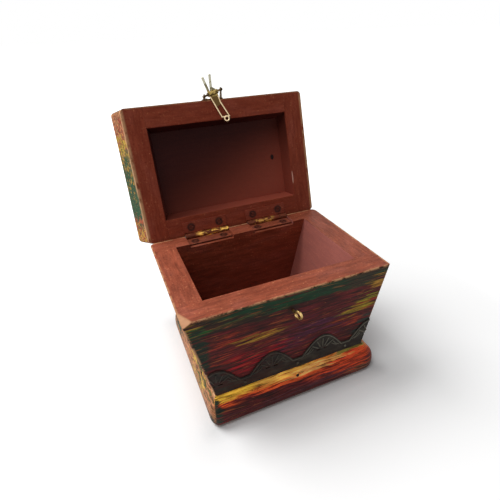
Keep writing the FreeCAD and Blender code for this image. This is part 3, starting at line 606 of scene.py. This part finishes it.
def hasp_brass():
    """Bright rubbed edges on the hasp's strap, grey prongs, and a sheet between the edges
    darkened as painted shade.
    """
    s = Shade("hasp_brass", lid=True)
    tarnish = s.grain(3.0, 81.0, detail=3.0)
    blotches = s.rise(tarnish, 0.4, 0.6)
    fine = s.grain(0.7, 82.0)
    off_sheet = s.size(s.plus(s.z, -HASP_Z))
    edge = s.rise(off_sheet, 0.5 * WEB_T + 0.02, 0.5 * WEB_T + 0.12)
    past_pin = s.plus(s.y, -HASP_Y)
    # Painted shade on the sheet between the bright edges
    colour = s.mix(edge, SHADED_WEB_BRASS, s.mix(tarnish, *EDGE_BRASS))
    colour = s.mix(s.fall(past_pin, 2.0, 3.0), colour, s.mix(blotches, *KNUCKLE_BRASS))
    colour = s.mix(s.fall(past_pin, -3.0, -1.8), colour, s.mix(blotches, *PRONG_BRASS))
    return s.done(colour, s.linear(fine, 0.2, 0.28), fine, bump_mm=0.06, round_mm=0.2, metal=0.8)


def hinge_paint(name, lid):
    """Brass under brown paint, bare along part of each barrel, with dark rims round the screws."""
    s = Shade(name, lid=lid)
    coat, height = brown_coat(s, s.x, s.y, 61.0)
    from_pin = s.length(s.plus(s.y, -PIN_Y), s.plus(s.z, -PIN_Z))
    barrel = s.fall(from_pin, BARREL_R + 0.1, BARREL_R + 0.4)
    patchy = s.noise(s.at, (6.0, 2.0, 2.0), 63.0, detail=3.0)
    left = s.times(s.rise(s.x, -40.0, -34.0), s.negative(s.x))
    right = s.times(s.rise(s.x, 13.0, 18.0), s.fall(s.x, 32.0, 37.0))
    bare = s.times(barrel, s.rise(patchy, 0.42, 0.56))
    bare = s.times(bare, s.most(left, s.times(right, 0.6)))
    from_middle = s.size(s.plus(s.size(s.x), -HINGE_X))
    from_screw = s.length(s.plus(from_middle, -SCREW_X), s.plus(s.y, -SCREW_Y))
    rim = s.times(
        s.rise(from_screw, SCREW_R - 1.0, SCREW_R - 0.3),
        s.fall(from_screw, SCREW_R + 0.2, SCREW_R + 1.2),
    )
    grime = s.fall(s.linear(patchy, 5.0, from_screw), 4.6, 7.4)
    if lid:
        coat = s.mix(LID_RED_SHARE, coat, LID_RED)
    else:
        border = s.least(s.minus(LEAF_HALF, from_middle), s.plus(s.y, LEAF_W - PIN_Y))
        grime = s.most(grime, s.fall(s.linear(patchy, 2.0, border), 1.0, 2.2))
        coat = s.dim(coat, 0.8)
    colour = s.mix(s.times(grime, 0.6), coat, GRIME)
    colour = s.mix(s.times(rim, 0.75), colour, SCREW_RIM)
    colour = s.mix(s.times(barrel, 0.5), colour, BARREL_BROWN)
    colour = s.mix(bare, colour, BARE_BRASS)
    rough = s.pick(bare, 0.5, 0.3)
    return s.done(colour, rough, height, bump_mm=0.12, round_mm=0.3, metal=s.times(bare, 0.9))


hinges = {
    "box": ["hinge_left_box_leaf", "hinge_right_box_leaf", "hinge_left_pin", "hinge_right_pin"],
    "lid": ["hinge_left_lid_leaf", "hinge_right_lid_leaf"],
}
lid_rails = ["lid_front_rail", "lid_back_rail", "lid_left_rail", "lid_right_rail"]
plinths = ["plinth_front", "plinth_back", "plinth_left", "plinth_right"]
bracket = ["hasp_bracket", "hasp_pin", "hasp_bracket_nails"]
looks = [
    (box_paint("end_boards", side=False), ["front_board", "back_board", "board_nails"]),
    (box_paint("side_boards", side=True), ["left_board", "right_board"]),
    (floor_wood(), ["floor_board"]),
    (plinth_paint(), plinths + ["plinth_nails", "foot_nails"]),
    (lid_paint(), lid_rails + ["lid_panel", "lid_nails"]),
    (strip_metal(), ["trim_strip", "trim_tacks"]),
    (hasp_brass(), ["hasp"]),
    (old_brass("staple_brass", STAPLE_BRASS, seed=85.0, rough=0.25), ["latch_staple"]),
    # Dark brass, partly painted shade
    (old_brass("dark_brass", DARK_BRASS_AND_SHADE, seed=83.0, rough=0.4), bracket),
    (hinge_paint("box_hinge", lid=False), hinges["box"] + ["box_hinge_screws"]),
    (hinge_paint("lid_hinge", lid=True), hinges["lid"] + ["lid_hinge_screws"]),
]
for material, names in looks:
    for name in names:
        slots = nodes[name].data.materials
        slots.clear()
        slots.append(material)


def make_camera():
    """The photo's camera."""
    lens = bpy.data.cameras.new("camera")
    lens.sensor_width = SENSOR_MM
    lens.lens = LENS_MM
    camera = bpy.data.objects.new("camera", lens)
    camera.location = CAMERA_AT
    camera.rotation_euler = Euler([math.radians(a) for a in CAMERA_TURN], "XYZ")
    bpy.context.scene.collection.objects.link(camera)
    bpy.context.scene.camera = camera


def seen_directly(tree):
    """1 for what the camera sees, also in a mirror or through glass, and 0 for light on the object."""
    path = tree.nodes.new("ShaderNodeLightPath")
    seen = path.outputs["Is Camera Ray"]
    for other in ("Is Glossy Ray", "Is Transmission Ray"):
        larger = tree.nodes.new("ShaderNodeMath")
        larger.operation = "MAXIMUM"
        tree.links.new(seen, larger.inputs[0])
        tree.links.new(path.outputs[other], larger.inputs[1])
        seen = larger.outputs[0]
    return seen


def from_foot(tree):
    """How far a place on the floor is from the box's foot."""
    result = tree.nodes.new("ShaderNodeTexCoord").outputs["Object"]
    steps = [
        ("SUBTRACT", (FOOT_X / PER_M, 0, 0)),
        ("ABSOLUTE", (0, 0, 0)),
        ("SUBTRACT", (FOOT_HALF_W / PER_M, FOOT_HALF_D / PER_M, 0)),
        ("MAXIMUM", (0, 0, 0)),
        ("LENGTH", (0, 0, 0)),
    ]
    for operation, other in steps:
        n = tree.nodes.new("ShaderNodeVectorMath")
        n.operation = operation
        n.inputs[1].default_value = other
        tree.links.new(result, n.inputs[0])
        result = n.outputs["Value" if operation == "LENGTH" else "Vector"]
    return result


def make_floor():
    """A pale floor that keeps the shadow near the object and is white further off.

    Its glow is low near the object's foot, which paints shade on the floor round it.
    """
    mesh = bpy.data.meshes.new("floor")
    r = FLOOR_REACH
    mesh.from_pydata([(-r, -r, 0), (r, -r, 0), (r, r, 0), (-r, r, 0)], [], [(0, 1, 2, 3)])
    floor = bpy.data.objects.new("floor", mesh)
    bpy.context.scene.collection.objects.link(floor)
    mat = bpy.data.materials.new("floor_white")
    mat.use_nodes = True
    tree = mat.node_tree
    tree.nodes.clear()
    out = tree.nodes.new("ShaderNodeOutputMaterial")
    pale = tree.nodes.new("ShaderNodeBsdfDiffuse")
    pale.inputs["Color"].default_value = (FLOOR_GREY, FLOOR_GREY, FLOOR_GREY, 1)
    white = tree.nodes.new("ShaderNodeEmission")
    glow = tree.nodes.new("ShaderNodeValToRGB")
    fill_ramp(glow, [(distance, (level, level, level, 1)) for distance, level in GLOW_AND_FOOT_SHADE])
    tree.links.new(from_foot(tree), glow.inputs[0])
    shown = tree.nodes.new("ShaderNodeMath")
    shown.operation = "MULTIPLY"
    tree.links.new(glow.outputs[0], shown.inputs[0])
    tree.links.new(seen_directly(tree), shown.inputs[1])
    tree.links.new(shown.outputs[0], white.inputs["Strength"])
    both = tree.nodes.new("ShaderNodeAddShader")
    tree.links.new(pale.outputs[0], both.inputs[0])
    tree.links.new(white.outputs[0], both.inputs[1])
    tree.links.new(both.outputs[0], out.inputs[0])
    mesh.materials.append(mat)


def soft_light(name, place, target, size, power):
    """A round area light that points at its target."""
    lamp = bpy.data.lights.new(name, "AREA")
    lamp.shape = "DISK"
    lamp.size = size
    lamp.energy = power
    obj = bpy.data.objects.new(name, lamp)
    obj.location = place
    obj.rotation_euler = (Vector(target) - Vector(place)).to_track_quat("-Z", "Y").to_euler()
    bpy.context.scene.collection.objects.link(obj)


def make_sky():
    """A white sky that lights the object less than it is seen."""
    world = bpy.data.worlds.new("studio")
    world.use_nodes = True
    tree = world.node_tree
    sky = tree.nodes["Background"]
    sky.inputs["Color"].default_value = (1, 1, 1, 1)
    level = tree.nodes.new("ShaderNodeMapRange")
    level.inputs["To Min"].default_value = SKY_LIGHT
    level.inputs["To Max"].default_value = SKY_SHOWN
    tree.links.new(seen_directly(tree), level.inputs["Value"])
    tree.links.new(level.outputs[0], sky.inputs["Strength"])
    bpy.context.scene.world = world


make_camera()
make_floor()
for light in LIGHTS:
    soft_light(*light)
make_sky()
bpy.context.scene.view_settings.view_transform = "Standard"
